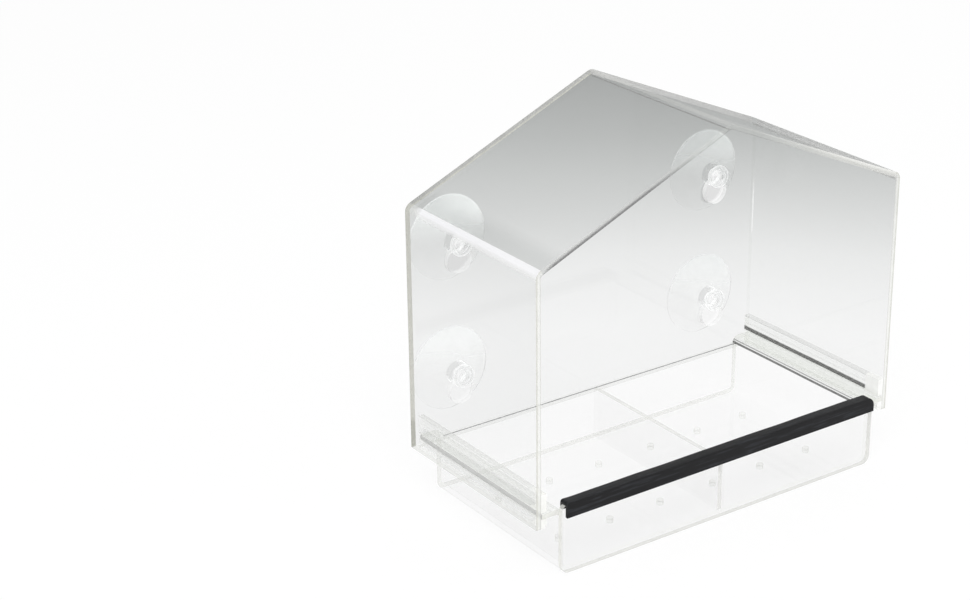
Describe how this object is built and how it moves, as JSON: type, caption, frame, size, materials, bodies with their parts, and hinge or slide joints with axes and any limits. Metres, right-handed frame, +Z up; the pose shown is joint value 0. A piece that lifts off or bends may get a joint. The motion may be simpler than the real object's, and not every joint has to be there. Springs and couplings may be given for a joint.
{
  "type": "window bird feeder",
  "caption": "House-shaped clear acrylic bird feeder with a slide-out seed tray, a rubber perch strip and keyholed suction cups for a window.",
  "frame": {"origin": "middle of the bounding box at its base, which is the underside of the seed tray", "axes": "+X along the width, to the right as seen from the open front; +Y from the front to the window; +Z up"},
  "size_m": [0.25, 0.1352, 0.2279],
  "materials": {
    "clear_acrylic": "clear polished sheet",
    "clear_pvc": "clear soft moulding",
    "black_rubber": "soft satin"
  },
  "bodies": {
    "house": {"house_shell": "clear_acrylic", "back_panel": "clear_acrylic", "rail_upper_left": "clear_acrylic", "rail_upper_right": "clear_acrylic", "rail_lower_left": "clear_acrylic", "rail_lower_right": "clear_acrylic"},
    "tray": {"tray_body": "clear_acrylic", "tray_front_plate": "clear_acrylic", "tray_back_plate": "clear_acrylic", "tray_divider": "clear_acrylic", "perch_grip": "black_rubber"},
    "cup_upper_left": {"suction_cup_upper_left": "clear_pvc"},
    "cup_upper_right": {"suction_cup_upper_right": "clear_pvc"},
    "cup_lower_left": {"suction_cup_lower_left": "clear_pvc"},
    "cup_lower_right": {"suction_cup_lower_right": "clear_pvc"}
  },
  "joints": [
    {"name": "tray_slide", "type": "slide", "parent": "house", "child": "tray", "axis": [0, -1, 0], "range_m": [0, 0.115]},
    {"name": "cup_upper_left_drop", "type": "slide", "parent": "house", "child": "cup_upper_left", "axis": [0, 0, -1], "range_m": [0, 0.0095]},
    {"name": "cup_upper_right_drop", "type": "slide", "parent": "house", "child": "cup_upper_right", "axis": [0, 0, -1], "range_m": [0, 0.0095]},
    {"name": "cup_lower_left_drop", "type": "slide", "parent": "house", "child": "cup_lower_left", "axis": [0, 0, -1], "range_m": [0, 0.0095]},
    {"name": "cup_lower_right_drop", "type": "slide", "parent": "house", "child": "cup_lower_right", "axis": [0, 0, -1], "range_m": [0, 0.0095]}
  ]
}
